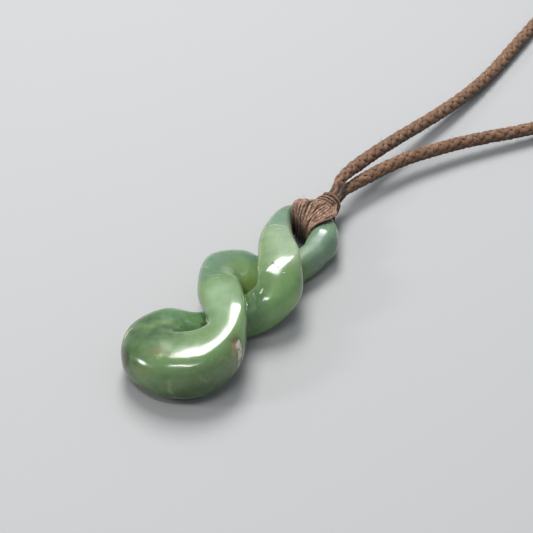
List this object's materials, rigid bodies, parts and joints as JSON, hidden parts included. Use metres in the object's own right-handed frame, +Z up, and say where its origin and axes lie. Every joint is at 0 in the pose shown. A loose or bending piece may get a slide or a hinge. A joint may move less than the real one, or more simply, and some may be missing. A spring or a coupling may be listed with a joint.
{
  "type": "jade twist pendant",
  "caption": "Carved greenstone twist with crossing strands, lashed with thread to a plaited neck cord laid in a loop.",
  "frame": {"origin": "middle of the whole thing's footprint, on the surface that it lies on", "axes": "+Y from the stone's bulb along the pendant to the back of the cord loop, +Z up, +X to the right seen from above"},
  "size_m": [0.0988, 0.254, 0.0107],
  "materials": {
    "jade": "polished green nephrite, slightly translucent",
    "thread": "brown waxed thread",
    "plait": "brown plaited waxed thread",
    "knot": "brown wound thread"
  },
  "bodies": {
    "root": {"jade_twist": "jade", "lashing": "thread", "cord_left": "plait", "cord_right": "plait", "back_knot": "knot"}
  },
  "joints": []
}
